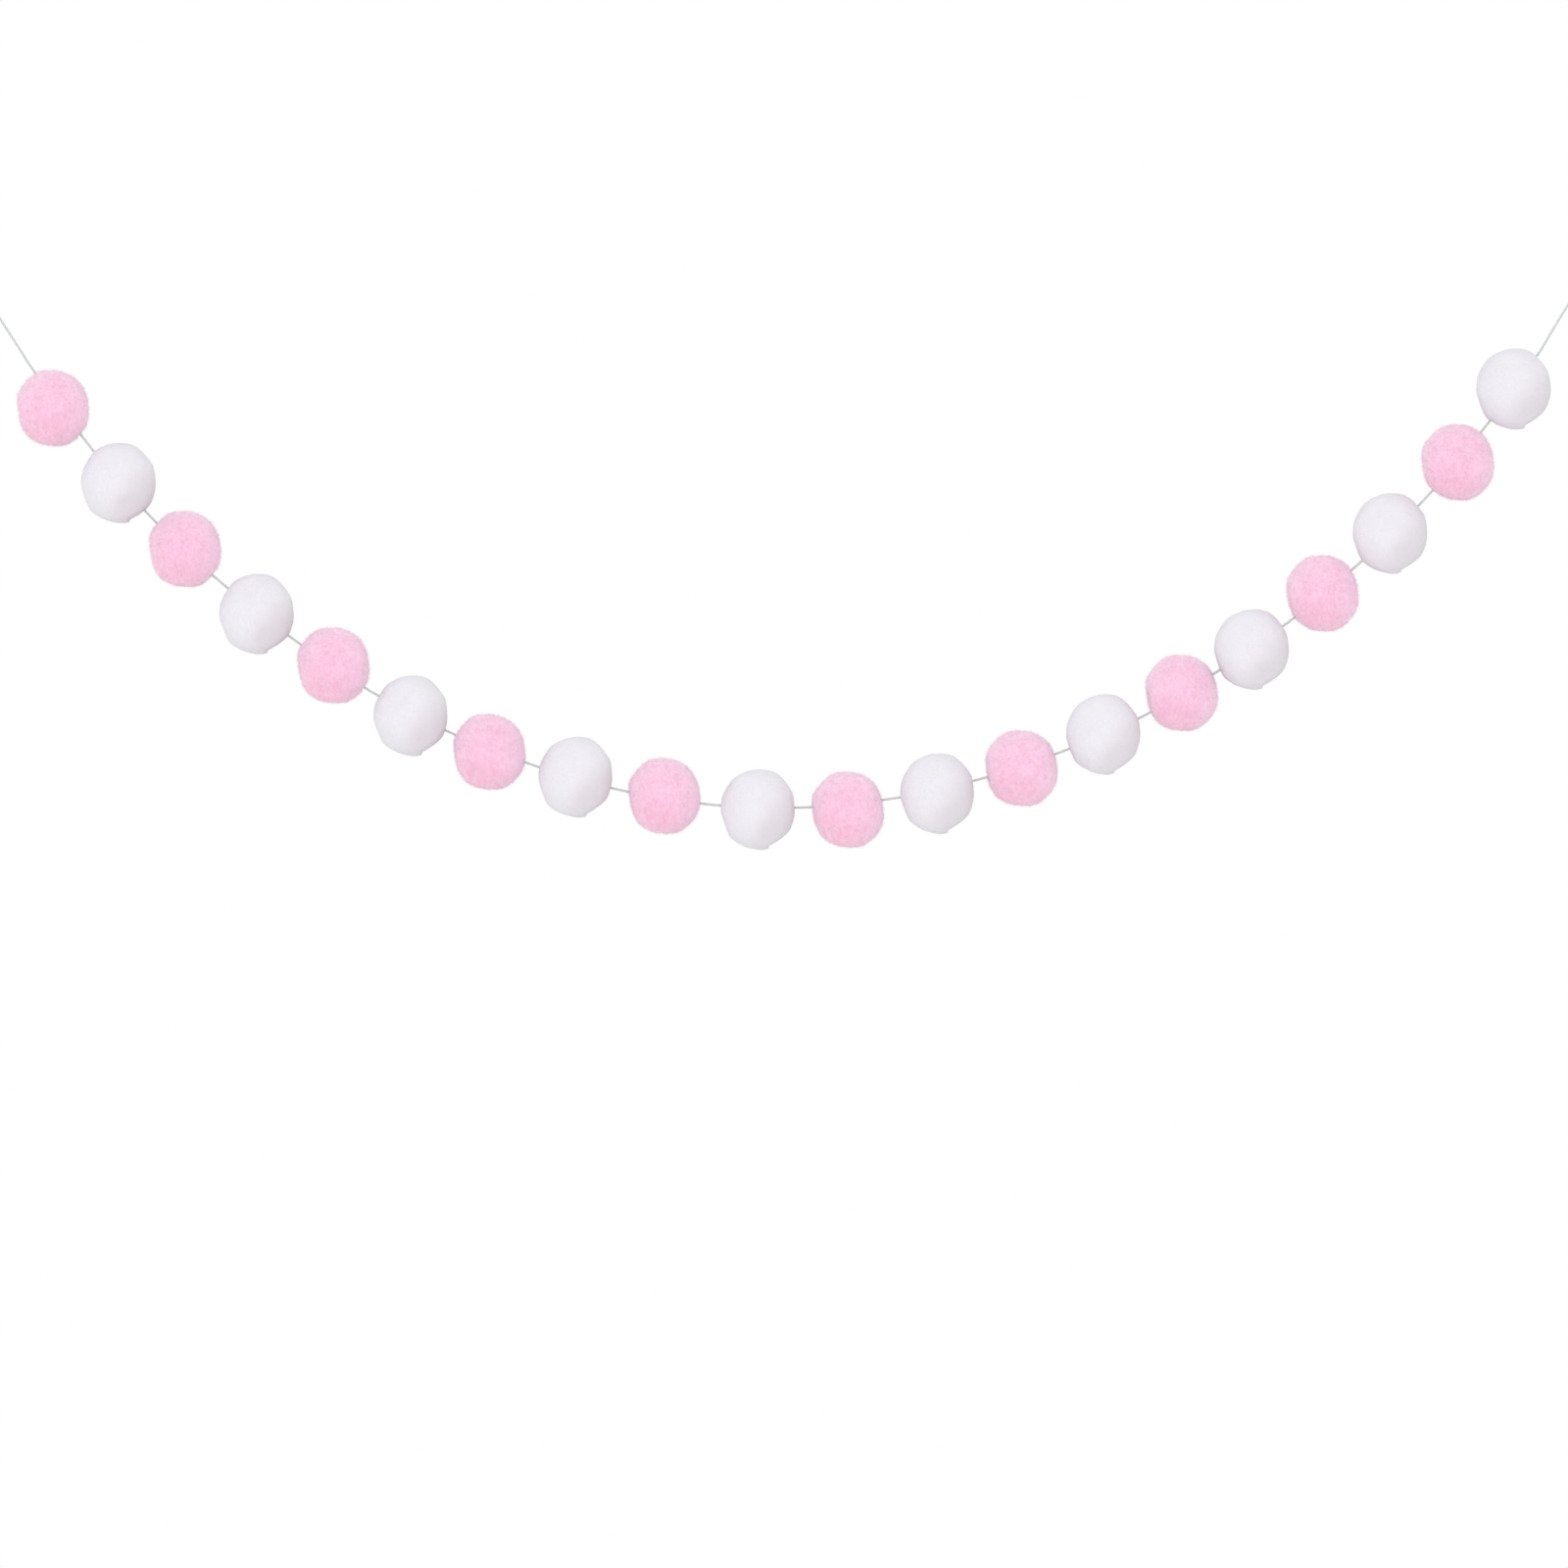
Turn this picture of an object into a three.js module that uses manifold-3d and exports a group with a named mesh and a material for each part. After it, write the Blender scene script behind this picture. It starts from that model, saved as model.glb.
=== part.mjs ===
// A felt ball garland as it hangs from its two loops: twenty trimmed balls, pink and white in
// turn, threaded on one thin cotton string that ends in a wrapped hanging loop on each side.
// Millimetres. +X runs to the right-hand loop, +Y away from the viewer, +Z up. The garland
// hangs in the XZ plane, and the origin is where the left loop bears on its hook.
import * as THREE from 'three';
import { mergeVertices } from 'three/addons/utils/BufferGeometryUtils.js';
import Module from 'manifold-3d';

const wasm = await Module();
wasm.setup();

// The string, and the air left between it and each piece that it meets.
const STRING_DIA = 1.0;
const STRING_SIDES = 8;
const STRING_STEPS = 80;
const GAP = 0.3;

// A hanging loop: it goes over a hook, and its two legs run down into a wrapped knot.
const HOOK_DIA = 8;
const BEARING_TO_KNOT = 21;
const LEG_SPREAD_AT_KNOT = 0.55;
const LEG_DEPTH_IN_KNOT = 1.2;
const LOOP_STEPS = 28;

// The knot: turns of string wound round the legs, and the short cut end that it leaves.
const KNOT_TURNS = 4;
const KNOT_TURN_PITCH = 1.05;
const KNOT_HALF_LENGTH = (KNOT_TURNS * KNOT_TURN_PITCH) / 2;
const KNOT_CREST_RADIUS = 1.7;
const KNOT_VALLEY_RADIUS = 1.35;
const KNOT_END_RADIUS = 1.1;
const KNOT_SIDES = 12;
const TAIL_LENGTH = 6.5;
const TAIL_SPLAY_DEG = 25;
const TAIL_OFFSET = 0.9;
const TAIL_DEPTH_IN_KNOT = 1.0;
const TAIL_STEPS = 3;

// Where each loop bears on its hook, and the way it is pulled, in degrees up from +X. The cut
// tail leaves the knot on the loop's outer side.
const LEFT_LOOP = { name: 'loop_left', x: 0, z: 0, pullDeg: 123, tailSide: -1 };
const RIGHT_LOOP = { name: 'loop_right', x: 567.5, z: 5.5, pullDeg: 58.5, tailSide: 1 };

// The string's way between the loops: along the left tail, once through each space between two
// balls, and up the right tail. It stays in the plane y = 0.
const STRING_WAY = [
  { x: 17.5, z: -27 },
  { x: 23, z: -35.5 },
  { x: 28.5, z: -44 },
  { x: 47, z: -69 },
  { x: 68.5, z: -94 },
  { x: 92, z: -116 },
  { x: 117.5, z: -136 },
  { x: 143.5, z: -153.5 },
  { x: 170.5, z: -167.5 },
  { x: 198.5, z: -178.5 },
  { x: 228, z: -187 },
  { x: 259, z: -192 },
  { x: 290, z: -193 },
  { x: 320.5, z: -190 },
  { x: 350, z: -183.5 },
  { x: 378.5, z: -174 },
  { x: 406, z: -162 },
  { x: 431, z: -147 },
  { x: 455.5, z: -130 },
  { x: 479, z: -110.5 },
  { x: 502, z: -88 },
  { x: 522.5, z: -63.5 },
  { x: 541, z: -38 },
  { x: 545.5, z: -30.5 },
  { x: 551, z: -21.5 },
];

// The balls' middles from the left, pink first. They sit on the string by friction, so their
// spacing is uneven.
const BALL_PLACES = [
  { x: 35, z: -57 },
  { x: 57.5, z: -82.5 },
  { x: 80, z: -105 },
  { x: 104.5, z: -127 },
  { x: 130.5, z: -144.5 },
  { x: 157, z: -161.5 },
  { x: 183.5, z: -174 },
  { x: 213, z: -182.5 },
  { x: 243, z: -189 },
  { x: 275, z: -193.5 },
  { x: 305.5, z: -193.5 },
  { x: 336, z: -188 },
  { x: 364.5, z: -179.5 },
  { x: 392.5, z: -168 },
  { x: 419, z: -154 },
  { x: 443, z: -139 },
  { x: 467, z: -120 },
  { x: 490, z: -99.5 },
  { x: 513, z: -75.5 },
  { x: 532, z: -50.5 },
];

// A ball is an ellipsoid of dense pile, trimmed by a few flat snips of the scissors. A snip
// faces turnDeg round from +X towards +Z and tipDeg back from the garland's plane, and depth
// is how far from the ball's middle it cuts.
const PINK = {
  colour: 0xfaccdf,
  halfWidth: 13.2,
  halfDepth: 12.9,
  halfHeight: 13.7,
  snips: [
    { turnDeg: 5, tipDeg: 0, depth: 12.7 },
    { turnDeg: 34, tipDeg: -8, depth: 12.9 },
    { turnDeg: 85, tipDeg: 6, depth: 13.3 },
    { turnDeg: 190, tipDeg: -6, depth: 12.1 },
    { turnDeg: 240, tipDeg: 4, depth: 13.05 },
    { turnDeg: 265, tipDeg: 0, depth: 13.15 },
    { turnDeg: 250, tipDeg: -48, depth: 12.6 },
    { turnDeg: 60, tipDeg: -62, depth: 12.5 },
    { turnDeg: 150, tipDeg: 52, depth: 12.4 },
    { turnDeg: 318, tipDeg: 40, depth: 12.7 },
  ],
};
const WHITE = {
  colour: 0xf1eef4,
  halfWidth: 13.3,
  halfDepth: 13.1,
  halfHeight: 14.1,
  snips: [
    { turnDeg: -6, tipDeg: 0, depth: 12.8 },
    { turnDeg: 115, tipDeg: 5, depth: 13.5 },
    { turnDeg: 158, tipDeg: -5, depth: 13.0 },
    { turnDeg: 198, tipDeg: 0, depth: 12.55 },
    { turnDeg: 255, tipDeg: 0, depth: 13.6 },
    { turnDeg: 312, tipDeg: 0, depth: 13.0 },
    { turnDeg: 300, tipDeg: -50, depth: 12.8 },
    { turnDeg: 110, tipDeg: -55, depth: 12.9 },
    { turnDeg: 200, tipDeg: 48, depth: 12.6 },
    { turnDeg: 30, tipDeg: 58, depth: 12.7 },
  ],
};
const SNIP_SHARPNESS = 36;
const BALL_DETAIL = 4;

// Low, wide unevenness of the pile: three waves across the ball, which shift from one ball to
// the next.
const LUMP_HEIGHT = 0.12;
const LUMP_WAVES = [
  { x: 4.1, y: 1.7, z: 0, shift: 2.3 },
  { x: -2.2, y: 0, z: 4.7, shift: 1.1 },
  { x: 0, y: 5.3, z: 3.1, shift: 3.7 },
];

const STRING_COLOUR = 0xdcdedb;
const FELT_ROUGHNESS = 1.0;
const STRING_ROUGHNESS = 0.9;

// Solids for joining and cutting, and back to geometry.
function toSolid(geometry) {
  const bare = geometry.clone();
  bare.deleteAttribute('normal');
  bare.deleteAttribute('uv');
  const merged = mergeVertices(bare);
  return new wasm.Manifold(new wasm.Mesh({
    numProp: 3,
    vertProperties: new Float32Array(merged.attributes.position.array),
    triVerts: new Uint32Array(merged.index.array),
  }));
}

function toGeometry(solid) {
  const mesh = solid.getMesh();
  const geometry = new THREE.BufferGeometry();
  geometry.setAttribute('position', new THREE.BufferAttribute(mesh.vertProperties, 3));
  geometry.setIndex(new THREE.BufferAttribute(mesh.triVerts, 1));
  geometry.computeVertexNormals();
  return geometry;
}

// A length of string, or of the space round it, along a curve.
function roundRod(path, radius, steps) {
  const corners = [];
  for (let side = 0; side < STRING_SIDES; side += 1) {
    const angle = (2 * Math.PI * side) / STRING_SIDES;
    corners.push(new THREE.Vector2(radius * Math.cos(angle), radius * Math.sin(angle)));
  }
  return new THREE.ExtrudeGeometry(new THREE.Shape(corners), { extrudePath: path, steps });
}

function pullOf(loop) {
  const angle = THREE.MathUtils.degToRad(loop.pullDeg);
  return new THREE.Vector3(Math.cos(angle), 0, Math.sin(angle));
}

// The string's own end stops a gap short of the knot's flat face.
function stringEnd(loop) {
  const reach = BEARING_TO_KNOT + KNOT_HALF_LENGTH + GAP;
  return new THREE.Vector3(loop.x, 0, loop.z).addScaledVector(pullOf(loop), -reach);
}

function stringPath() {
  const along = STRING_WAY.map((point) => new THREE.Vector3(point.x, 0, point.z));
  const points = [stringEnd(LEFT_LOOP), ...along, stringEnd(RIGHT_LOOP)];
  return new THREE.CatmullRomCurve3(points, false, 'centripetal');
}

// A loop in its own frame: +Y is the way it is pulled, the loop lies in XY, and the bearing
// point is at the origin. The line runs up one leg, over the hook and down the other leg.
class LoopLine extends THREE.Curve {
  constructor() {
    super();
    this.bend = HOOK_DIA / 2 + STRING_DIA / 2;
    this.hookY = -HOOK_DIA / 2;
    this.footX = LEG_SPREAD_AT_KNOT;
    this.footY = -BEARING_TO_KNOT + KNOT_HALF_LENGTH - LEG_DEPTH_IN_KNOT;
    const down = this.hookY - this.footY;
    const span = Math.hypot(this.footX, down);
    const tangent = Math.acos(this.bend / span);
    this.startAngle = Math.atan2(-down, this.footX) + tangent;
    this.legLength = span * Math.sin(tangent);
    this.arcAngle = Math.PI - 2 * this.startAngle;
  }

  getPoint(t, target = new THREE.Vector3()) {
    const arcLength = this.bend * this.arcAngle;
    const total = 2 * this.legLength + arcLength;
    const fromNearEnd = Math.min(t, 1 - t) * total;
    const side = t <= 0.5 ? 1 : -1;
    if (fromNearEnd < this.legLength) {
      const share = fromNearEnd / this.legLength;
      const topX = this.bend * Math.cos(this.startAngle);
      const topY = this.hookY + this.bend * Math.sin(this.startAngle);
      const x = THREE.MathUtils.lerp(this.footX, topX, share);
      const y = THREE.MathUtils.lerp(this.footY, topY, share);
      return target.set(side * x, y, 0);
    }
    const angle = this.startAngle + (fromNearEnd - this.legLength) / this.bend;
    const x = this.bend * Math.cos(angle);
    const y = this.hookY + this.bend * Math.sin(angle);
    return target.set(side * x, y, 0);
  }
}

function knotBarrel() {
  const bottom = -KNOT_HALF_LENGTH;
  const profile = [new THREE.Vector2(0, bottom), new THREE.Vector2(KNOT_END_RADIUS, bottom)];
  for (let turn = 0; turn < KNOT_TURNS; turn += 1) {
    const start = bottom + turn * KNOT_TURN_PITCH;
    if (turn > 0) profile.push(new THREE.Vector2(KNOT_VALLEY_RADIUS, start));
    profile.push(new THREE.Vector2(KNOT_CREST_RADIUS, start + KNOT_TURN_PITCH / 2));
  }
  profile.push(new THREE.Vector2(KNOT_END_RADIUS, KNOT_HALF_LENGTH));
  profile.push(new THREE.Vector2(0, KNOT_HALF_LENGTH));
  const barrel = new THREE.LatheGeometry(profile, KNOT_SIDES);
  barrel.translate(0, -BEARING_TO_KNOT, 0);
  return barrel;
}

function cutTail(side) {
  const splay = THREE.MathUtils.degToRad(TAIL_SPLAY_DEG);
  const faceY = -BEARING_TO_KNOT - KNOT_HALF_LENGTH;
  const start = new THREE.Vector3(side * TAIL_OFFSET, faceY + TAIL_DEPTH_IN_KNOT, 0);
  const along = new THREE.Vector3(side * Math.sin(splay), -Math.cos(splay), 0);
  const end = start.clone().addScaledVector(along, TAIL_LENGTH);
  return roundRod(new THREE.LineCurve3(start, end), STRING_DIA / 2, TAIL_STEPS);
}

function hangLoop(loop) {
  const bight = toSolid(roundRod(new LoopLine(), STRING_DIA / 2, LOOP_STEPS));
  const tied = bight.add(toSolid(knotBarrel())).add(toSolid(cutTail(loop.tailSide)));
  const mesh = new THREE.Mesh(toGeometry(tied), stringMaterial());
  const up = pullOf(loop);
  const towardsViewer = new THREE.Vector3(0, -1, 0);
  const side = new THREE.Vector3().crossVectors(up, towardsViewer);
  mesh.quaternion.setFromRotationMatrix(new THREE.Matrix4().makeBasis(side, up, towardsViewer));
  mesh.position.set(loop.x, 0, loop.z);
  mesh.name = loop.name;
  return mesh;
}

function snipFacing(snip) {
  const turn = THREE.MathUtils.degToRad(snip.turnDeg);
  const tip = THREE.MathUtils.degToRad(snip.tipDeg);
  const flat = Math.cos(tip);
  return new THREE.Vector3(flat * Math.cos(turn), Math.sin(tip), flat * Math.sin(turn));
}

function lump(way, number) {
  let sum = 0;
  for (const wave of LUMP_WAVES) {
    sum += Math.sin(wave.x * way.x + wave.y * way.y + wave.z * way.z + wave.shift * number);
  }
  return (LUMP_HEIGHT * sum) / LUMP_WAVES.length;
}

// The trimmed surface: the nearest of the ellipsoid and the snips, with softened edges.
function ballRadius(way, kind, number) {
  const across = way.x / kind.halfWidth;
  const through = way.y / kind.halfDepth;
  const upward = way.z / kind.halfHeight;
  let sum = Math.hypot(across, through, upward) ** SNIP_SHARPNESS;
  for (const snip of kind.snips) {
    const facing = way.dot(snipFacing(snip));
    if (facing > 0) sum += (facing / snip.depth) ** SNIP_SHARPNESS;
  }
  return sum ** (-1 / SNIP_SHARPNESS) + lump(way, number);
}

function ballGeometry(kind, number) {
  const geometry = new THREE.IcosahedronGeometry(1, BALL_DETAIL);
  const points = geometry.attributes.position;
  const way = new THREE.Vector3();
  for (let index = 0; index < points.count; index += 1) {
    way.fromBufferAttribute(points, index).normalize();
    way.multiplyScalar(ballRadius(way, kind, number));
    points.setXYZ(index, way.x, way.y, way.z);
  }
  return geometry;
}

function feltMaterial(kind) {
  return new THREE.MeshStandardMaterial({
    color: kind.colour, roughness: FELT_ROUGHNESS, metalness: 0,
  });
}

function stringMaterial() {
  return new THREE.MeshStandardMaterial({
    color: STRING_COLOUR, roughness: STRING_ROUGHNESS, metalness: 0,
  });
}

// A ball is bored where the needle took the string through it.
function threadBall(place, index, needleWay) {
  const number = index + 1;
  const kind = index % 2 === 0 ? PINK : WHITE;
  const whole = toSolid(ballGeometry(kind, number));
  const bored = whole.subtract(needleWay.translate([-place.x, 0, -place.z]));
  const mesh = new THREE.Mesh(toGeometry(bored), feltMaterial(kind));
  mesh.position.set(place.x, 0, place.z);
  mesh.name = `ball_${String(number).padStart(2, '0')}`;
  return mesh;
}

const garland = new THREE.Group();

const path = stringPath();
const string = new THREE.Mesh(roundRod(path, STRING_DIA / 2, STRING_STEPS), stringMaterial());
string.name = 'string';
garland.add(string);

const cornerClearance = GAP / Math.cos(Math.PI / STRING_SIDES);
const needleWay = toSolid(roundRod(path, STRING_DIA / 2 + cornerClearance, STRING_STEPS));
BALL_PLACES.forEach((place, index) => garland.add(threadBall(place, index, needleWay)));

garland.add(hangLoop(LEFT_LOOP), hangLoop(RIGHT_LOOP));

export default garland;
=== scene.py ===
import math

import bpy
from mathutils import Matrix, Vector


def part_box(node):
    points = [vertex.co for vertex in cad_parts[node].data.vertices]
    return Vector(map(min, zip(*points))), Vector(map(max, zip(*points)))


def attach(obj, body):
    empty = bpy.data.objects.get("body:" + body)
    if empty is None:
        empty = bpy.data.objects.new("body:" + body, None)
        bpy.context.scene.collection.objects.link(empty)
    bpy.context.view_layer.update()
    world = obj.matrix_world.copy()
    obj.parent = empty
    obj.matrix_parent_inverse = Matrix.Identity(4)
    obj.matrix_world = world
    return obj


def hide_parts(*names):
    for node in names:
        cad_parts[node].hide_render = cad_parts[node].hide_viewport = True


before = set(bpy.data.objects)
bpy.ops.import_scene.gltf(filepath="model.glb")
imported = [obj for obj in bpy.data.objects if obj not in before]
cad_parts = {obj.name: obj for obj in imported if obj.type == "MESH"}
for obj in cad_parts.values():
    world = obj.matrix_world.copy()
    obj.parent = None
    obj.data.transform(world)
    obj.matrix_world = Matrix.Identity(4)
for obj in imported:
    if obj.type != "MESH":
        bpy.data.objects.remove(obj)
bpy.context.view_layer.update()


# The camera. The garland hangs in front of it as on a wall, seen square on from a few steps
# away, so that the balls at both ends look as round as those in the middle.
MM = 0.001
VIEW_MIDDLE = Vector((284.0, 0.0, -185.0)) * MM
VIEW_WIDTH = 533.333 * MM
SENSOR_WIDTH_MM = 36.0
LENS_MM = 200.0

camera_data = bpy.data.cameras.new("camera")
camera_data.sensor_width = SENSOR_WIDTH_MM
camera_data.lens = LENS_MM
camera = bpy.data.objects.new("camera", camera_data)
camera.location = VIEW_MIDDLE - Vector((0, VIEW_WIDTH * LENS_MM / SENSOR_WIDTH_MM, 0))
camera.rotation_euler = (math.radians(90), 0, 0)
bpy.context.scene.collection.objects.link(camera)
bpy.context.scene.camera = camera


# The string: one length of thin, light grey cotton, three plies twisted together. It is
# threaded through every ball with a needle and hangs slack between the two loops. Each end
# runs into the knot under its loop.
STRING_DIA = 1.0 * MM
STRING_STEP = 0.4 * MM
PLIES = 3
PLY_SIDES = 5
PLY_RADIUS = STRING_DIA / 2 / (1 + 1 / math.sin(math.pi / PLIES))
LAY_RADIUS = STRING_DIA / 2 - PLY_RADIUS
TWIST_PITCH = 3.2 * MM
PATTERN_LENGTH = 20 * MM
COTTON = (0.67, 0.70, 0.68, 1)
COTTON_SHADE = (0.575, 0.605, 0.585, 1)
COTTON_HAIRS = (60.0, 9.0, 1.0)
COTTON_DUST = (3.0, 6.0, 1.0)
COTTON_HAIR_SHARE = 0.7
COTTON_BUMP = 0.05 * MM

# Where each loop bears on its hook, the way it is pulled, and how far below it the string ends,
# inside the knot.
HANGERS = {
    "loop_left": {"bearing": Vector((0, 0, 0)), "pull": math.radians(123), "outer": -1},
    "loop_right": {"bearing": Vector((0.5675, 0, 0.0055)), "pull": math.radians(58.5), "outer": 1},
}
BEARING_TO_STRING = 22.0 * MM

# The string's way between the loops, in the plane y = 0: x and z in metres.
STRING_WAY = [
    (0.0175, -0.027),
    (0.023, -0.0355),
    (0.0285, -0.044),
    (0.047, -0.069),
    (0.0685, -0.094),
    (0.092, -0.116),
    (0.1175, -0.136),
    (0.1435, -0.1535),
    (0.1705, -0.1675),
    (0.1985, -0.1785),
    (0.228, -0.187),
    (0.259, -0.192),
    (0.290, -0.193),
    (0.3205, -0.190),
    (0.350, -0.1835),
    (0.3785, -0.174),
    (0.406, -0.162),
    (0.431, -0.147),
    (0.4555, -0.130),
    (0.479, -0.1105),
    (0.502, -0.088),
    (0.5225, -0.0635),
    (0.541, -0.038),
    (0.5455, -0.0305),
    (0.551, -0.0215),
]


class Wire:
    """An output of a node. Arithmetic on wires adds Math nodes, and make adds any other node."""

    def __init__(self, tree, socket=None):
        self.tree = tree
        self.socket = socket

    def make(self, kind, values=None, output=0, **settings):
        """Adds a node with those settings and input values or wires, and returns an output."""
        node = self.tree.nodes.new(kind)
        for name, value in settings.items():
            setattr(node, name, value)
        for name, value in (values or {}).items():
            if isinstance(value, Wire):
                self.tree.links.new(value.socket, node.inputs[name])
            elif isinstance(value, list):
                for wire in value:
                    self.tree.links.new(wire.socket, node.inputs[name])
            else:
                node.inputs[name].default_value = value
        return Wire(self.tree, node.outputs[output])

    def also(self, output):
        """Another output of the same node."""
        return Wire(self.tree, self.socket.node.outputs[output])

    def maths(self, operation, first, second=0.0):
        return self.make("ShaderNodeMath", {0: first, 1: second}, operation=operation)

    def __add__(self, other):
        return self.maths("ADD", self, other)

    __radd__ = __add__

    def __sub__(self, other):
        return self.maths("SUBTRACT", self, other)

    def __rsub__(self, other):
        return self.maths("SUBTRACT", other, self)

    def __mul__(self, other):
        return self.maths("MULTIPLY", self, other)

    __rmul__ = __mul__

    def __truediv__(self, other):
        return self.maths("DIVIDE", self, other)

    def __rtruediv__(self, other):
        return self.maths("DIVIDE", other, self)

    def __pow__(self, other):
        return self.maths("POWER", self, other)

    def __gt__(self, other):
        return self.maths("GREATER_THAN", self, other)

    def vector(self, operation, other=None, output="Vector"):
        values = {0: self} if other is None else {0: self, 1: other}
        return self.make("ShaderNodeVectorMath", values, output, operation=operation)

    def scaled(self, factor):
        values = {0: self, "Scale": factor}
        return self.make("ShaderNodeVectorMath", values, operation="SCALE")

    def parts(self):
        split = self.make("ShaderNodeSeparateXYZ", {0: self})
        return split, split.also(1), split.also(2)

    def joined(self, x, y, z):
        return self.make("ShaderNodeCombineXYZ", {0: x, 1: y, 2: z})

    def ramp(self, low, high):
        """0 at low and 1 at high, with a smooth way between them."""
        values = {"Value": self, "From Min": low, "From Max": high}
        return self.make("ShaderNodeMapRange", values, interpolation_type="SMOOTHSTEP")

    def tint(self, first, second):
        """The colour that goes from first to second as this wire goes from 0 to 1."""
        return self.make("ShaderNodeMix", {0: self, 6: first, 7: second}, 2, data_type="RGBA")

    def noise(self, size, detail=2.0, roughness=0.5, distortion=0.0, output=0):
        """Noise over this place, in lumps of about that size."""
        values = {
            "Vector": self,
            "Scale": 1 / size,
            "Detail": detail,
            "Roughness": roughness,
            "Distortion": distortion,
        }
        return self.make("ShaderNodeTexNoise", values, output)


def new_tree(name, inputs):
    """A geometry tree with named inputs, and a wire from each of them."""
    tree = bpy.data.node_groups.new(name, "GeometryNodeTree")
    tree.interface.new_socket("Geometry", in_out="OUTPUT", socket_type="NodeSocketGeometry")
    for label, kind in inputs.items():
        tree.interface.new_socket(label, in_out="INPUT", socket_type="NodeSocket" + kind)
    given = tree.nodes.new("NodeGroupInput")
    return Wire(tree), {label: Wire(tree, given.outputs[label]) for label in inputs}


def close_tree(geometry, material):
    whole = geometry.make("GeometryNodeRealizeInstances", {"Geometry": geometry})
    done = whole.make("GeometryNodeSetMaterial", {"Geometry": whole, "Material": material})
    end = done.tree.nodes.new("NodeGroupOutput")
    done.tree.links.new(done.socket, end.inputs["Geometry"])


def stored(geometry, name, value, domain, data_type):
    values = {"Geometry": geometry, "Name": name, "Value": value}
    kind = "GeometryNodeStoreNamedAttribute"
    return geometry.make(kind, values, domain=domain, data_type=data_type)


def read_back(wire, name, data_type):
    return wire.make("GeometryNodeInputNamedAttribute", {"Name": name}, data_type=data_type)


def face_mean(value):
    return value.make("GeometryNodeFieldOnDomain", {"Value": value}, domain="FACE")


def grow(name, start, tree, inputs):
    """Runs a geometry tree on a mesh and returns the result as a plain mesh piece."""
    piece = bpy.data.objects.new(name, start)
    modifier = piece.modifiers.new("making", "NODES")
    modifier.node_group = tree
    for socket in tree.interface.items_tree:
        if socket.in_out == "INPUT" and socket.name in inputs:
            modifier[socket.identifier] = inputs[socket.name]
    bpy.context.scene.collection.objects.link(piece)
    bpy.context.view_layer.update()
    depsgraph = bpy.context.evaluated_depsgraph_get()
    done = bpy.data.meshes.new_from_object(
        piece.evaluated_get(depsgraph), preserve_all_data_layers=True, depsgraph=depsgraph
    )
    piece.modifiers.remove(modifier)
    piece.data = done
    return piece


def new_material(name):
    material = bpy.data.materials.new(name)
    material.use_nodes = True
    return material, Wire(material.node_tree)


def set_shader(wire, constants, varying):
    """The material's shader: what is the same all over is set on it, and the rest is linked."""
    shader = wire.tree.nodes["Principled BSDF"]
    for name, value in constants.items():
        shader.inputs[name].default_value = value
    for name, value in varying.items():
        wire.tree.links.new(value.socket, shader.inputs[name])


def plied_string_tree():
    """Twisted plies along a line: each is a thin tube that winds round the line."""
    inputs = {
        "Line": "Geometry",
        "Plies": "Int",
        "Ply sides": "Int",
        "Ply radius": "Float",
        "Lay radius": "Float",
        "Twist pitch": "Float",
        "Fray length": "Float",
        "Fray spread": "Float",
        "Cotton": "Material",
    }
    wire, given = new_tree("plied string", inputs)
    line = wire.make("GeometryNodeMeshToCurve", {"Mesh": given["Line"]})
    along = wire.make("GeometryNodeSplineParameter", output="Length")
    to_end = wire.make("GeometryNodeSplineLength") - along
    copies = {"Geometry": line, "Amount": given["Plies"]}
    plies = wire.make("GeometryNodeDuplicateElements", copies, domain="SPLINE")
    ply = plies.also("Duplicate Index")
    plies = stored(plies, "ply", ply, "CURVE", "FLOAT")
    plies = stored(plies, "along", along, "POINT", "FLOAT")
    loose = 1 - (to_end / given["Fray length"]).ramp(0.0, 1.0)
    out_by = given["Lay radius"] + loose * given["Fray spread"]
    turn = (along / given["Twist pitch"] + ply / given["Plies"]) * (2 * math.pi)
    tangent = wire.make("GeometryNodeInputTangent")
    beside = wire.make("GeometryNodeInputNormal").scaled(out_by)
    spin = {"Vector": beside, "Axis": tangent, "Angle": turn}
    offset = wire.make("ShaderNodeVectorRotate", spin, rotation_type="AXIS_ANGLE")
    wound = wire.make("GeometryNodeSetPosition", {"Geometry": plies, "Offset": offset})
    ring = {"Resolution": given["Ply sides"], "Radius": given["Ply radius"]}
    round_ply = wire.make("GeometryNodeCurvePrimitiveCircle", ring)
    sweep = {"Curve": wound, "Profile Curve": round_ply, "Fill Caps": True}
    tubes = wire.make("GeometryNodeCurveToMesh", sweep)

    # Each ply has its own third of the map, and the map starts again after each pattern length.
    index = wire.make("GeometryNodeInputIndex")
    corner = index.maths("MODULO", index, given["Ply sides"])
    past_seam = (face_mean(corner) - corner) > 1.0
    around = (corner + past_seam * given["Ply sides"]) / given["Ply sides"]
    patterns = read_back(wire, "along", "FLOAT") / PATTERN_LENGTH
    start = patterns.maths("FLOOR", face_mean(patterns))
    column = (read_back(wire, "ply", "FLOAT") + around) / given["Plies"]
    place = wire.joined(column, patterns - start, 0.0)
    tubes = stored(tubes, "OFBake", place, "CORNER", "FLOAT2")
    tubes = stored(tubes, "strand", place, "CORNER", "FLOAT_VECTOR")
    close_tree(wire.make("GeometryNodeSetShadeSmooth", {"Geometry": tubes}), given["Cotton"])
    return wire.tree


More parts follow.
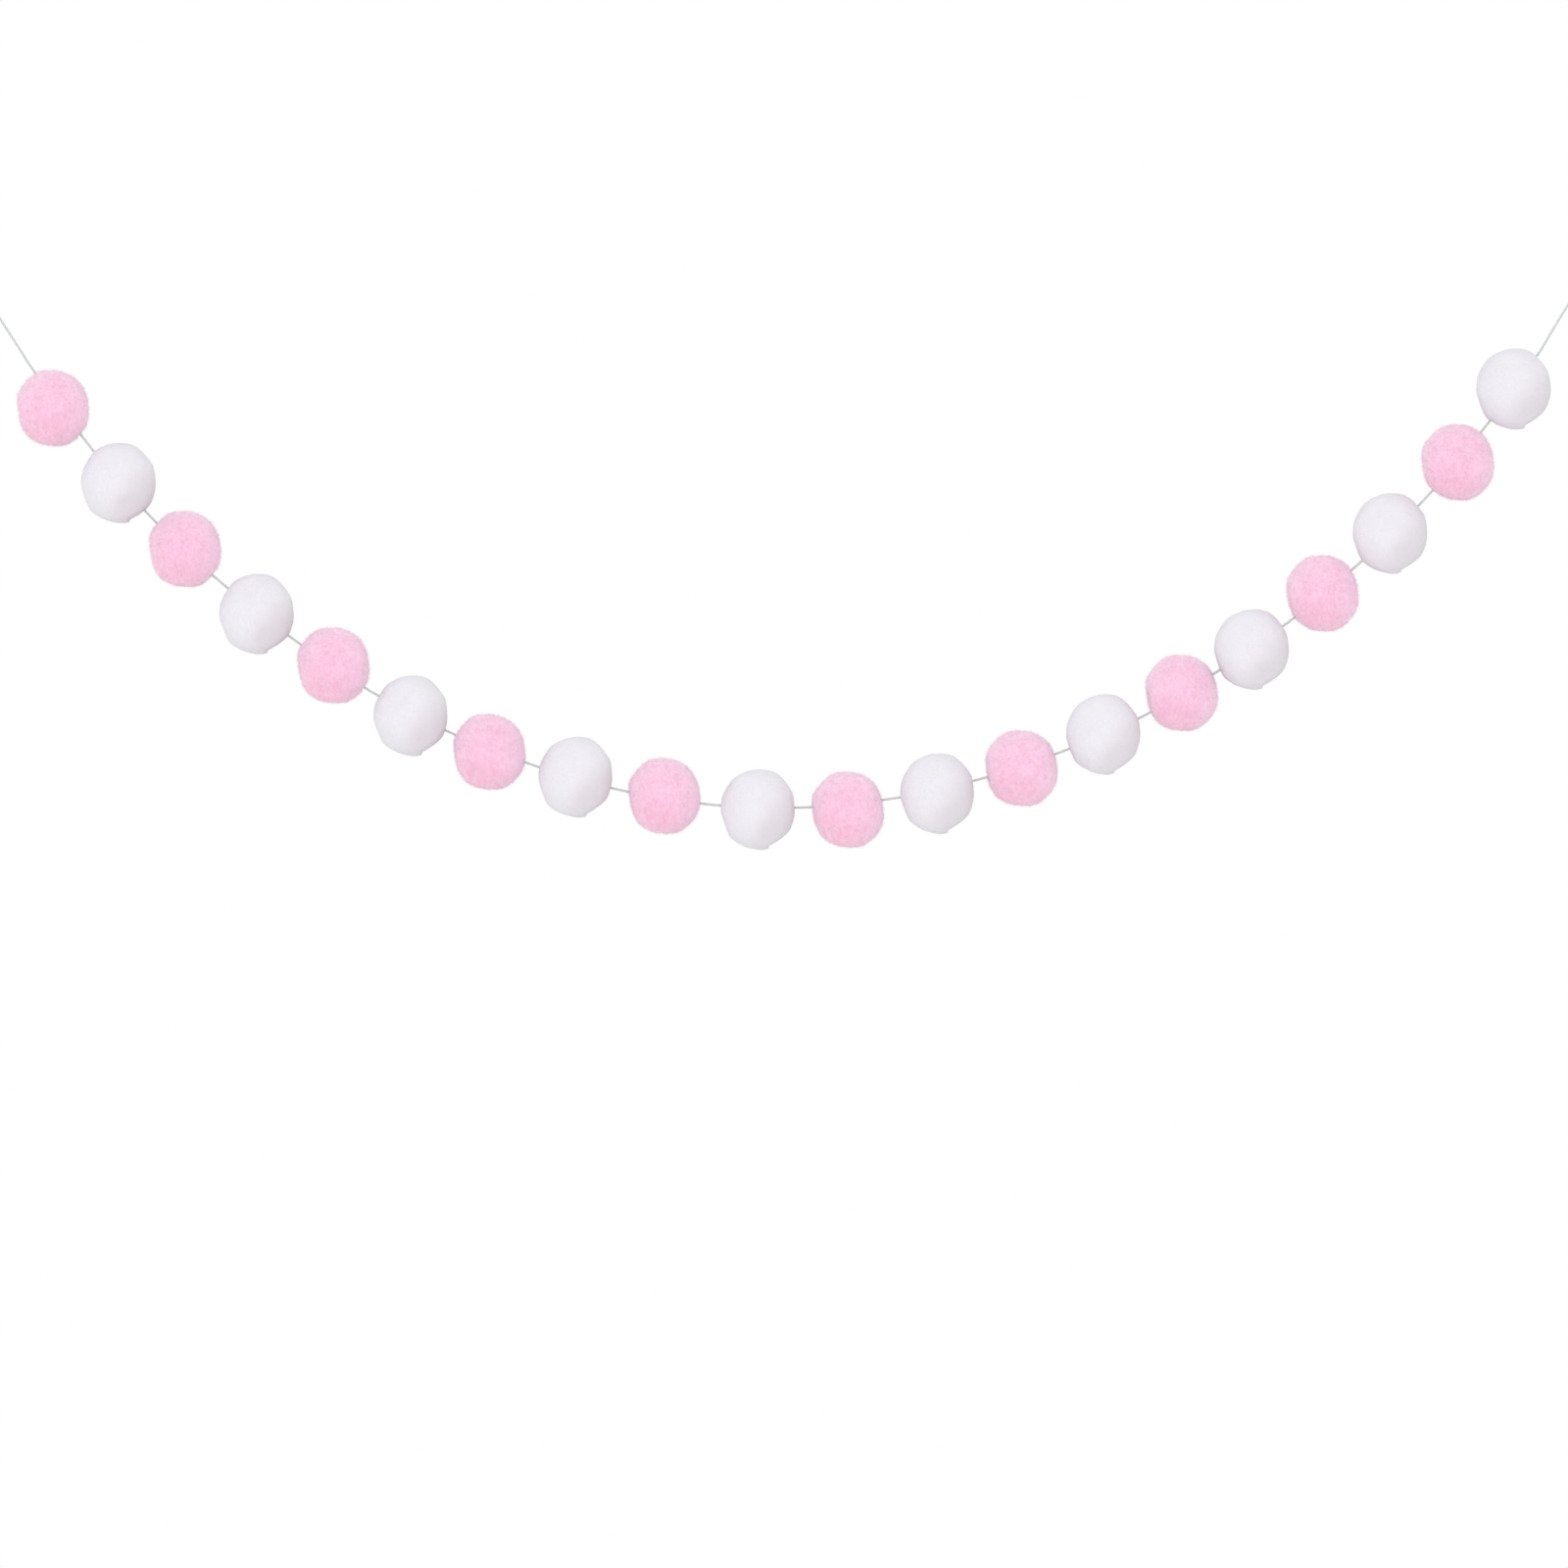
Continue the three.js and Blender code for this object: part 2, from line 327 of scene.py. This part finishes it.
def cotton_material():
    """Matt cotton: fine hairs lie along each ply, and a little dust greys the turns."""
    material, wire = new_material("cotton_string")
    strand = wire.make("ShaderNodeAttribute", output="Vector", attribute_name="strand")
    hairs = strand.vector("MULTIPLY", COTTON_HAIRS).noise(1.0, detail=3.0)
    dust = strand.vector("MULTIPLY", COTTON_DUST).noise(1.0)
    shade = (hairs * COTTON_HAIR_SHARE + dust * (1 - COTTON_HAIR_SHARE)).ramp(0.3, 0.7)
    bump = {"Strength": 0.5, "Distance": COTTON_BUMP, "Height": hairs}
    normal = wire.make("ShaderNodeBump", bump)
    constants = {"Specular IOR Level": 0.2}
    colour = shade.tint(COTTON_SHADE, COTTON)
    varying = {"Base Color": colour, "Roughness": 0.8 + hairs * 0.2, "Normal": normal}
    set_shader(wire, constants, varying)
    return material


def pull_of(hanger):
    return Vector((math.cos(hanger["pull"]), 0, math.sin(hanger["pull"])))


def string_end(hanger):
    return hanger["bearing"] - pull_of(hanger) * BEARING_TO_STRING


def curve_point(before, start, end, after, share):
    """A point between start and end, on the smooth curve that runs through all four points."""
    near = (start - before).length ** 0.5
    mid = (end - start).length ** 0.5
    far = (after - end).length ** 0.5
    leave = (start - before) / near - (end - before) / (near + mid) + (end - start) / mid
    arrive = (end - start) / mid - (after - start) / (mid + far) + (after - end) / far
    squared = share * share
    cubed = squared * share
    return (
        start * (2 * cubed - 3 * squared + 1)
        + leave * mid * (cubed - 2 * squared + share)
        + end * (3 * squared - 2 * cubed)
        + arrive * mid * (cubed - squared)
    )


def smooth_route(points, step):
    """Points about a step apart on one smooth curve through the given points."""
    ends = [points[0] * 2 - points[1], *points, points[-1] * 2 - points[-2]]
    route = []
    for before, start, end, after in zip(ends, ends[1:], ends[2:], ends[3:]):
        count = math.ceil((end - start).length / step)
        route += [curve_point(before, start, end, after, i / count) for i in range(count)]
    return route + [points[-1]]


def line_mesh(name, lines):
    """A mesh of bare lines, which the plies wind round."""
    vertices = []
    edges = []
    for line in lines:
        first = len(vertices)
        vertices += line
        edges += [(first + i, first + i + 1) for i in range(len(line) - 1)]
    mesh = bpy.data.meshes.new(name)
    mesh.from_pydata(vertices, edges, [])
    return mesh


string_tree = plied_string_tree()
cotton = cotton_material()
twist = {
    "Plies": PLIES,
    "Ply sides": PLY_SIDES,
    "Ply radius": PLY_RADIUS,
    "Lay radius": LAY_RADIUS,
    "Twist pitch": TWIST_PITCH,
    "Fray length": 1 * MM,
    "Fray spread": 0.0,
    "Cotton": cotton,
}
between = [Vector((x, 0, z)) for x, z in STRING_WAY]
ends = [string_end(HANGERS["loop_left"]), string_end(HANGERS["loop_right"])]
route = smooth_route([ends[0], *between, ends[1]], STRING_STEP)
string_length = sum((b - a).length for a, b in zip(route, route[1:]))
string = grow("garland_string", line_mesh("string_line", [route]), string_tree, twist)


# The hanging loops: the string's own ends, doubled back over a hook and tied with four turns
# wrapped round both legs. The cut end sticks out of the knot a little, and its plies have
# begun to fray.
HOOK_RADIUS = 4 * MM
BEARING_TO_KNOT = 21 * MM
LEG_SPREAD = 0.55 * MM
KNOT_TURNS = 4
KNOT_PITCH = 1.05 * MM
KNOT_RADIUS = 1.2 * MM
KNOT_INSIDE = 0.55
TUCK_TURNS = 0.25
TURN_POINTS = 20
TAIL_ROOT = 0.54 * MM
TAIL_ROOT_STEPS = 5
TAIL_START = 0.9 * MM
TAIL_LENGTH = 6.5 * MM
TAIL_SPLAY = math.radians(25)
TAIL_DROOP = 0.5 * MM
FRAY_LENGTH = 1.8 * MM
FRAY_SPREAD = 0.45 * MM


def evenly(length):
    return max(2, math.ceil(length / STRING_STEP))


def bight_line():
    """Up one leg, over the hook and down the other, in the loop's own frame: +Y is the pull."""
    bend = HOOK_RADIUS + STRING_DIA / 2
    foot_y = -BEARING_TO_KNOT
    drop = -HOOK_RADIUS - foot_y
    span = math.hypot(LEG_SPREAD, drop)
    start = math.atan2(-drop, LEG_SPREAD) + math.acos(bend / span)
    top = Vector((math.cos(start), math.sin(start), 0)) * bend - Vector((0, HOOK_RADIUS, 0))
    foot = Vector((LEG_SPREAD, foot_y, 0))
    leg_steps = evenly((top - foot).length)
    leg = [foot.lerp(top, i / leg_steps) for i in range(leg_steps)]
    arc_steps = evenly(bend * (math.pi - 2 * start))
    arc = []
    for i in range(arc_steps + 1):
        angle = start + (math.pi - 2 * start) * i / arc_steps
        arc.append(Vector((math.cos(angle) * bend, math.sin(angle) * bend - HOOK_RADIUS, 0)))
    return leg + arc + [Vector((-p.x, p.y, 0)) for p in reversed(leg)]


def wrap_line(outer):
    """The turns wrapped round the legs. Both ends tuck in under the turns."""
    count = KNOT_TURNS * TURN_POINTS
    points = []
    for i in range(count + 1):
        angle = 2 * math.pi * i / TURN_POINTS
        from_end = min(i, count - i) / TURN_POINTS
        tuck = math.sin(min(1.0, from_end / TUCK_TURNS) * math.pi / 2)
        radius = KNOT_RADIUS * (KNOT_INSIDE + (1 - KNOT_INSIDE) * tuck)
        height = (i / count - 0.5) * (KNOT_TURNS - 1) * KNOT_PITCH
        place = (outer * math.cos(angle) * radius, height - BEARING_TO_KNOT, math.sin(angle) * radius)
        points.append(Vector(place))
    return points


def tail_line(outer):
    """The cut end, which leaves the knot on the outer side and droops a little."""
    start = Vector((outer * TAIL_ROOT, -BEARING_TO_KNOT, 0))
    leave = Vector((outer * TAIL_START, -BEARING_TO_KNOT - KNOT_TURNS * KNOT_PITCH / 2, 0))
    way = Vector((outer * math.sin(TAIL_SPLAY), -math.cos(TAIL_SPLAY), 0))
    side = Vector((-way.y, way.x, 0)) * outer
    points = [start.lerp(leave, i / TAIL_ROOT_STEPS) for i in range(TAIL_ROOT_STEPS)]
    steps = evenly(TAIL_LENGTH)
    for i in range(steps + 1):
        share = i / steps
        points.append(leave + way * TAIL_LENGTH * share - side * TAIL_DROOP * share * (1 - share))
    return points


def to_hanger(point, hanger):
    """From a loop's own frame to its place: the loop lies in the garland's plane."""
    pull = pull_of(hanger)
    viewer = Vector((0, -1, 0))
    side = pull.cross(viewer)
    return hanger["bearing"] + side * point.x + pull * point.y + viewer * point.z


for node, hanger in HANGERS.items():
    own_lines = [bight_line(), wrap_line(hanger["outer"]), tail_line(hanger["outer"])]
    lines = [[to_hanger(point, hanger) for point in line] for line in own_lines]
    frayed = {**twist, "Fray length": FRAY_LENGTH, "Fray spread": FRAY_SPREAD}
    loop = grow(node + "_tied", line_mesh(node + "_line", lines), string_tree, frayed)
    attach(loop, "root")
    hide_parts(node)

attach(string, "root")
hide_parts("string")


# The pink balls: ten balls of dense wool pile, felted round and then trimmed with scissors, so
# that each has a few flat snips. The pile is soft and brushed, with loose fibre ends standing
# out of it, and it is pulled in a little where the string goes through.
PINK_BALL = {
    "half_sizes": Vector((13.2, 12.9, 13.7)),
    "middle_from_box": Vector((0.0, 0, -0.25)),
    "snips": [
        {"turn": 5, "tip": 0, "depth": 12.6},
        {"turn": 25, "tip": -8, "depth": 12.65},
        {"turn": 62, "tip": 0, "depth": 13.2},
        {"turn": 88, "tip": 6, "depth": 13.1},
        {"turn": 140, "tip": 0, "depth": 13.2},
        {"turn": 188, "tip": -6, "depth": 11.75},
        {"turn": 208, "tip": 0, "depth": 12.5},
        {"turn": 240, "tip": 4, "depth": 13.0},
        {"turn": 265, "tip": 0, "depth": 12.95},
        {"turn": 250, "tip": -48, "depth": 12.6},
        {"turn": 60, "tip": -62, "depth": 12.5},
        {"turn": 150, "tip": 52, "depth": 12.4},
        {"turn": 318, "tip": 40, "depth": 12.7},
    ],
}
PINK_PILE = {
    "Cells": 36,
    "Sink": 0.52 * MM,
    "Tuft height": 0.3 * MM,
    "Tuft size": 1.6 * MM,
    "Fibres": 10000.0,
    "Fibre length": 1.7 * MM,
    "Fibre thickness": 0.13 * MM,
    "Comb": 0.35,
    "Scatter": 0.9,
    "Least rise": 0.2,
    "Most rise": 1.6,
    # Painted shade falls this way: down, and a little to the left and front.
    "Painted shade way": Vector((-0.3, -0.35, -0.88)).normalized(),
}
PINK_LIGHT = (0.89, 0.51, 0.695, 1)
PINK_DEEP = (0.815, 0.415, 0.60, 1)
# Partly painted shade: the lower side of each pink ball is painted this deeper colour. It lies in
# streaks that follow the brushed pile, which is real, but the darker lower side is painted shade.
PINK_PAINTED_SHADE = (0.86, 0.41, 0.575, 1)
PINK_SHEEN = {"Sheen Weight": 0.82, "Sheen Tint": (0.9, 1.0, 0.98, 1)}
PINK_STREAKS = 1.0
PINK_BUMP = 0.06 * MM
BALL_COUNT = 20
REACH = 13.0 * MM
SNIP_SHARPNESS = 36
LUMP_HEIGHT = 0.12 * MM
LUMP_WAVES = [
    {"along": (4.1, 1.7, 0), "shift": 2.3},
    {"along": (-2.2, 0, 4.7), "shift": 1.1},
    {"along": (0, 5.3, 3.1), "shift": 3.7},
]
MAP_INSET = 0.98
PATTERN_SHIFT = 31 * MM
ENTRY_DIMPLE_RADIUS = 2.0 * MM
ENTRY_DIMPLE_DEPTH = 0.5 * MM
FIBRE_ROOT = 0.1 * MM
FIBRE_FLATNESS = 0.3
SHORTEST_FIBRE = 0.45
SWIRL_TUFTS = 1.4
STRAY = 0.4
# Painted shade starts at this dot product with its given way, and is full straight out that way.
PAINTED_SHADE_EDGE = 0.35

# Where the pile starts to hang and where it hangs fully, in parts of the reach, and how much the
# brush draws it out there.
HANG_START = 0.3
HANG_FULL = -0.5
BRUSH_DRAW = 0.65

# The felt's pattern: the sizes of its marks, how much finer the second layer of hairs is, and
# which noise levels the marks run between.
CLOUD_SIZE = 6 * MM
CLOUD_SHARE = 0.35
STROKE_SIZE = 0.9 * MM
HAIR_SIZE = 0.8 * MM
HAIR_WIDTH = 0.15
SECOND_HAIRS = 1.3
TONE_LEVELS = (0.32, 0.62)
STREAK_LEVELS = (0.42, 0.62)
FELT_ROUGHNESS = 0.85


def snip_facing(snip):
    turn = math.radians(snip["turn"])
    tip = math.radians(snip["tip"])
    return (math.cos(tip) * math.cos(turn), math.sin(tip), math.cos(tip) * math.sin(turn))


def six_sided_map(wire):
    """The ball's map: its six sides, two rows of three, a little apart."""
    flat = face_normal(wire).vector("ABSOLUTE").parts()
    x, y, z = wire.make("GeometryNodeInputPosition").scaled(MAP_INSET).parts()
    toward = face_normal(wire).vector("DOT_PRODUCT", (1, 1, 1), "Value")
    across = 0.5 + flat[0] * y + (flat[1] + flat[2]) * x
    up = 0.5 + (flat[0] + flat[1]) * z + flat[2] * y
    column = (flat[1] + flat[2] * 2 + across) / 3
    row = (toward * 0.5 + 0.5 + up) / 2
    return wire.joined(column, row, 0.0)


def face_normal(wire):
    normal = wire.make("GeometryNodeInputNormal")
    kind = "GeometryNodeFieldOnDomain"
    return wire.make(kind, {"Value": normal}, data_type="FLOAT_VECTOR", domain="FACE")


def trimmed_radius(way, kind, number):
    """How far the pile reaches that way: the nearest of the round form and the snips."""
    half_sizes = kind["half_sizes"] * MM / REACH
    total = way.vector("DIVIDE", half_sizes).vector("LENGTH", output="Value") ** SNIP_SHARPNESS
    for snip in kind["snips"]:
        facing = way.vector("DOT_PRODUCT", snip_facing(snip), "Value")
        cut = facing.maths("MAXIMUM", facing, 0.0) * (REACH / (snip["depth"] * MM))
        cut = cut ** SNIP_SHARPNESS
        if "stop" in snip:
            stop = math.radians(snip["stop"] + 90)
            beyond = way.vector("DOT_PRODUCT", (math.cos(stop), 0, math.sin(stop)), "Value")
            cut = cut * (beyond > 0.0)
        total = total + cut
    lumps = 0.0
    for wave in LUMP_WAVES:
        phase = way.vector("DOT_PRODUCT", wave["along"], "Value") + number * wave["shift"]
        lumps = lumps + phase.maths("SINE", phase)
    return total ** (-1 / SNIP_SHARPNESS) * REACH + lumps * (LUMP_HEIGHT / len(LUMP_WAVES))


def drawn_in(way, entry):
    """How much the string draws the pile in, that way: 1 where it goes through, else 0."""
    nearness = way.vector("DOT_PRODUCT", entry, "Value")
    return nearness.ramp(math.cos(ENTRY_DIMPLE_RADIUS / REACH), 1.0)


def felt_body(wire, given, kind):
    """The ball's body: it starts as a cube of square cells, whose corners move out to the pile."""
    number = given["Number"]
    corners = given["Cells"] + 1
    cells = {"Vertices X": corners, "Vertices Y": corners, "Vertices Z": corners}
    cube = wire.make("GeometryNodeMeshCube", cells)
    cube = stored(cube, "OFBake", six_sided_map(wire), "CORNER", "FLOAT2")
    position = wire.make("GeometryNodeInputPosition")
    way = position.scaled(math.pi / 2).vector("TANGENT").vector("NORMALIZE")
    cube = stored(cube, "way", way, "POINT", "FLOAT_VECTOR")
    way = read_back(wire, "way", "FLOAT_VECTOR")
    reach = trimmed_radius(way, kind, number)
    pattern = way.scaled(reach).vector("ADD", wire.joined(number * PATTERN_SHIFT, 0.0, 0.0))
    cube = stored(cube, "place", pattern, "POINT", "FLOAT_VECTOR")
    place = read_back(wire, "place", "FLOAT_VECTOR")
    # Painted shade: a mask, 0 to 1, on the side of the ball that faces the given way. The felt paints
    # it in a deeper colour.
    toward = way.vector("DOT_PRODUCT", given["Painted shade way"], "Value")
    cube = stored(cube, "bloom", toward.ramp(PAINTED_SHADE_EDGE, 1.0), "POINT", "FLOAT")
    tufts = (brushed(place).noise(given["Tuft size"]) - 0.5) * given["Tuft height"] * 2
    dimple = drawn_in(way, given["String in"]) + drawn_in(way, given["String out"])
    depth = reach + tufts - given["Sink"] - dimple * ENTRY_DIMPLE_DEPTH
    moved = {"Geometry": cube, "Position": way.scaled(depth)}
    body = wire.make("GeometryNodeSetPosition", moved)
    return wire.make("GeometryNodeSetShadeSmooth", {"Geometry": body})


def fibre_ends(wire, given, body):
    """The fibre ends, which lie on the body or stand out of it.

    Each is drawn down by the comb, and turned with its own tuft.
    """
    number = given["Number"]
    place = read_back(wire, "place", "FLOAT_VECTOR")
    area = 4 * math.pi * REACH * REACH
    spread = {"Mesh": body, "Density": given["Fibres"] / area, "Seed": number}
    roots = wire.make("GeometryNodeDistributePointsOnFaces", spread)
    normal = roots.also("Normal")
    sunk = {"Geometry": roots, "Offset": normal.scaled(-FIBRE_ROOT)}
    rooted = wire.make("GeometryNodeSetPosition", sunk)
    swirl = place.noise(given["Tuft size"] * SWIRL_TUFTS, output="Color")
    swirl = swirl.vector("SUBTRACT", (0.5, 0.5, 0.5)).scaled(given["Scatter"] * 2)
    limits = {0: (-1, -1, -1), 1: (1, 1, 1), "Seed": number + 1}
    stray = wire.make("FunctionNodeRandomValue", limits, data_type="FLOAT_VECTOR")
    combed = wire.joined(0.0, 0.0, given["Comb"] * -1)
    drift = swirl.vector("ADD", combed).vector("ADD", stray.scaled(given["Scatter"] * STRAY))
    out_of_it = normal.scaled(drift.vector("DOT_PRODUCT", normal, "Value"))
    along = drift.vector("SUBTRACT", out_of_it).vector("NORMALIZE")
    loose = wire.make("FunctionNodeRandomValue", {2: 0.0, 3: 1.0, "Seed": number + 3}, 1)
    rise = given["Least rise"] + loose * loose * (given["Most rise"] - given["Least rise"])
    lean = along.vector("ADD", normal.scaled(rise))
    turned = wire.make("FunctionNodeAlignRotationToVector", {"Vector": lean}, axis="Z")
    flat_side = {"Rotation": turned, "Vector": normal}
    align = "FunctionNodeAlignRotationToVector"
    turned = wire.make(align, flat_side, axis="X", pivot_axis="Z")
    shares = {2: SHORTEST_FIBRE, 3: 1.0, "Seed": number + 2}
    share = wire.make("FunctionNodeRandomValue", shares, 1)
    thickness = given["Fibre thickness"]
    size = wire.joined(thickness * FIBRE_FLATNESS, thickness, given["Fibre length"] * share)
    cone = {"Vertices": 3, "Radius Bottom": 0.5, "Depth": 1.0}
    fibre = wire.make("GeometryNodeMeshCone", cone, fill_type="NGON")
    planted = {"Points": rooted, "Instance": fibre, "Rotation": turned, "Scale": size}
    fibres = wire.make("GeometryNodeInstanceOnPoints", planted)
    fibres = wire.make("GeometryNodeRealizeInstances", {"Geometry": fibres})
    root_place = read_back(wire, "OFBake", "FLOAT_VECTOR")
    return stored(fibres, "OFBake", root_place, "CORNER", "FLOAT2")


def felt_ball_tree(name, kind):
    """A ball of that kind: the trimmed body with its tufts, and the fibre ends on it."""
    inputs = {
        "Start": "Geometry",
        "Number": "Int",
        "String in": "Vector",
        "String out": "Vector",
        "Cells": "Int",
        "Sink": "Float",
        "Tuft height": "Float",
        "Tuft size": "Float",
        "Fibres": "Float",
        "Fibre length": "Float",
        "Fibre thickness": "Float",
        "Comb": "Float",
        "Scatter": "Float",
        "Least rise": "Float",
        "Most rise": "Float",
        "Painted shade way": "Vector",
        "Felt": "Material",
    }
    wire, given = new_tree(name, inputs)
    body = felt_body(wire, given, kind)
    fibres = fibre_ends(wire, given, body)
    close_tree(wire.make("GeometryNodeJoinGeometry", {"Geometry": [fibres, body]}), given["Felt"])
    return wire.tree


def brushed(place):
    """The pattern's place, drawn out up and down where the pile hangs on the lower half."""
    x, y, z = place.parts()
    hanging = 1 - (z / REACH).ramp(HANG_FULL, HANG_START)
    return place.joined(x, y, z * (1 - hanging * BRUSH_DRAW))


def matted_hairs(place, size):
    """Thin winding ridges, as of long hairs felted flat: 1 on a ridge and 0 between them."""
    level = place.noise(size, detail=1.0, distortion=1.2) - 0.5
    return 1 - level.maths("ABSOLUTE", level).ramp(0.0, HAIR_WIDTH)


def felt_material(name, light, deep, bloom, streaks, sheen, bump_distance):
    """Felted wool: soft clouds of tone, short brushed strokes, and fine hairs in the bump.

    One side of each ball has a deeper colour painted on as shade, which may follow the strokes.
    """
    material, wire = new_material(name)
    place = wire.make("ShaderNodeAttribute", output="Vector", attribute_name="place")
    drawn = brushed(place)
    clouds = place.noise(CLOUD_SIZE)
    strokes = drawn.noise(STROKE_SIZE, detail=3.0, roughness=0.6)
    tone = (clouds * CLOUD_SHARE + strokes * (1 - CLOUD_SHARE)).ramp(*TONE_LEVELS)
    matted = matted_hairs(drawn, HAIR_SIZE) + matted_hairs(drawn.scaled(SECOND_HAIRS), HAIR_SIZE)
    bump = {"Strength": 1.0, "Distance": bump_distance, "Height": strokes * 0.5 + matted * 0.5}
    normal = wire.make("ShaderNodeBump", bump)
    constants = {"Specular IOR Level": 0.15, "Sheen Roughness": 0.75, **sheen}
    # The painted shade's mask, in streaks where streaks is 1, mixes in the deeper colour.
    painted_shade_mask = wire.make("ShaderNodeAttribute", output="Fac", attribute_name="bloom")
    streaked = painted_shade_mask * (strokes.ramp(*STREAK_LEVELS) * (2 * streaks) + (1 - streaks))
    colour = streaked.tint(tone.tint(deep, light), bloom)
    roughness = FELT_ROUGHNESS + strokes * (1 - FELT_ROUGHNESS)
    varying = {"Base Color": colour, "Roughness": roughness, "Normal": normal}
    set_shader(wire, constants, varying)
    return material


def string_entries(middle):
    """The ways from a ball's middle to where the string goes in and comes out."""
    within = [point - middle for point in route if (point - middle).length < REACH]
    return within[0].normalized(), within[-1].normalized()


def make_balls(numbers, kind, pile, tree, material):
    """Grows each numbered ball on the string, where its solid is."""
    for number in numbers:
        node = f"ball_{number:02d}"
        low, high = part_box(node)
        middle = (low + high) / 2 + kind["middle_from_box"] * MM
        way_in, way_out = string_entries(middle)
        own = {"Number": number, "String in": way_in, "String out": way_out, "Felt": material}
        start = bpy.data.meshes.new(node + "_start")
        ball = grow(node + "_felt", start, tree, {**pile, **own})
        ball.data.transform(Matrix.Translation(middle))
        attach(ball, "root")
        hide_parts(node)


pink_tree = felt_ball_tree("pink felt ball", PINK_BALL)
pink_felt = felt_material(
    "pink_felt", PINK_LIGHT, PINK_DEEP, PINK_PAINTED_SHADE, PINK_STREAKS, PINK_SHEEN, PINK_BUMP
)
make_balls(range(1, BALL_COUNT, 2), PINK_BALL, PINK_PILE, pink_tree, pink_felt)


# The white balls: ten more between the pink ones, of finer wool, felted harder and clipped
# closer, so that they are smooth and matt. The scissors left one small step low on the right.
WHITE_BALL = {
    "half_sizes": Vector((13.6, 13.1, 14.35)),
    "middle_from_box": Vector((0.15, 0, -0.25)),
    "snips": [
        {"turn": 5, "tip": 0, "depth": 12.85},
        {"turn": 38, "tip": 0, "depth": 13.55},
        {"turn": 92, "tip": 0, "depth": 14.1},
        {"turn": 115, "tip": 5, "depth": 13.65},
        {"turn": 150, "tip": -5, "depth": 13.1},
        {"turn": 176, "tip": 0, "depth": 13.05},
        {"turn": 200, "tip": 0, "depth": 12.7},
        {"turn": 239, "tip": 0, "depth": 13.75},
        {"turn": 258, "tip": 0, "depth": 14.0},
        {"turn": 312, "tip": 0, "depth": 13.15},
        {"turn": 343, "tip": 0, "depth": 13.0},
        {"turn": 300, "tip": -50, "depth": 12.8},
        {"turn": 110, "tip": -55, "depth": 12.9},
        {"turn": 200, "tip": 48, "depth": 12.6},
        {"turn": 30, "tip": 58, "depth": 12.7},
        {"turn": -62, "tip": 0, "depth": 13.15, "stop": -73.5},
    ],
}
WHITE_PILE = {
    "Cells": 42,
    "Sink": 0.35 * MM,
    "Tuft height": 0.12 * MM,
    "Tuft size": 1.8 * MM,
    "Fibres": 3500.0,
    "Fibre length": 1.0 * MM,
    "Fibre thickness": 0.08 * MM,
    "Comb": 0.3,
    "Scatter": 1.2,
    "Least rise": 0.1,
    "Most rise": 1.0,
    # Painted shade falls this way: low on the right and towards the front.
    "Painted shade way": Vector((0.72, -0.42, -0.56)).normalized(),
}
WHITE_LIGHT = (0.74, 0.71, 0.76, 1)
WHITE_DEEP = (0.715, 0.68, 0.73, 1)
# Painted shade: the white balls are painted this duller colour on their lower right side, which is
# turned from the light.
WHITE_PAINTED_SHADE = (0.66, 0.615, 0.655, 1)
WHITE_SHEEN = {"Sheen Weight": 0.15, "Sheen Tint": (0.75, 1.0, 0.9, 1)}
WHITE_STREAKS = 0.0
WHITE_BUMP = 0.04 * MM

white_tree = felt_ball_tree("white felt ball", WHITE_BALL)
white_felt = felt_material(
    "white_felt", WHITE_LIGHT, WHITE_DEEP, WHITE_PAINTED_SHADE, WHITE_STREAKS, WHITE_SHEEN, WHITE_BUMP
)
make_balls(range(2, BALL_COUNT + 1, 2), WHITE_BALL, WHITE_PILE, white_tree, white_felt)


# The studio: a pale floor well under the garland, white all round, and one large soft light
# above the camera's left shoulder.
FLOOR_HEIGHT = -0.52
FLOOR_HALF_WIDTH = 1.2
FLOOR_HALF_DEPTH = 0.7
FLOOR_COLOUR = (0.92, 0.92, 0.92, 1)
LIGHT_WAY = Vector((-0.14, -0.96, 0.13)).normalized()
LIGHT_DISTANCE = 6.0
LIGHT_SIZE = 4.5
LIGHT_WATTS = 110.0

floor_mesh = bpy.data.meshes.new("floor")
left = VIEW_MIDDLE.x - FLOOR_HALF_WIDTH
right = VIEW_MIDDLE.x + FLOOR_HALF_WIDTH
floor_corners = [
    (left, -FLOOR_HALF_DEPTH, FLOOR_HEIGHT),
    (right, -FLOOR_HALF_DEPTH, FLOOR_HEIGHT),
    (right, FLOOR_HALF_DEPTH, FLOOR_HEIGHT),
    (left, FLOOR_HALF_DEPTH, FLOOR_HEIGHT),
]
floor_mesh.from_pydata(floor_corners, [], [(0, 1, 2, 3)])
floor = bpy.data.objects.new("floor", floor_mesh)
bpy.context.scene.collection.objects.link(floor)
floor_paint, floor_wire = new_material("pale_floor")
set_shader(floor_wire, {"Base Color": FLOOR_COLOUR, "Roughness": 0.8}, {})
floor_mesh.materials.append(floor_paint)

light_data = bpy.data.lights.new("soft_light", "AREA")
light_data.size = LIGHT_SIZE
light_data.energy = LIGHT_WATTS
light = bpy.data.objects.new("soft_light", light_data)
light.location = VIEW_MIDDLE + LIGHT_WAY * LIGHT_DISTANCE
light.rotation_euler = LIGHT_WAY.to_track_quat("Z", "Y").to_euler()
bpy.context.scene.collection.objects.link(light)

world = bpy.data.worlds.new("studio")
world.use_nodes = True
world.node_tree.nodes["Background"].inputs["Color"].default_value = (1, 1, 1, 1)
bpy.context.scene.world = world
bpy.context.scene.view_settings.view_transform = "Standard"
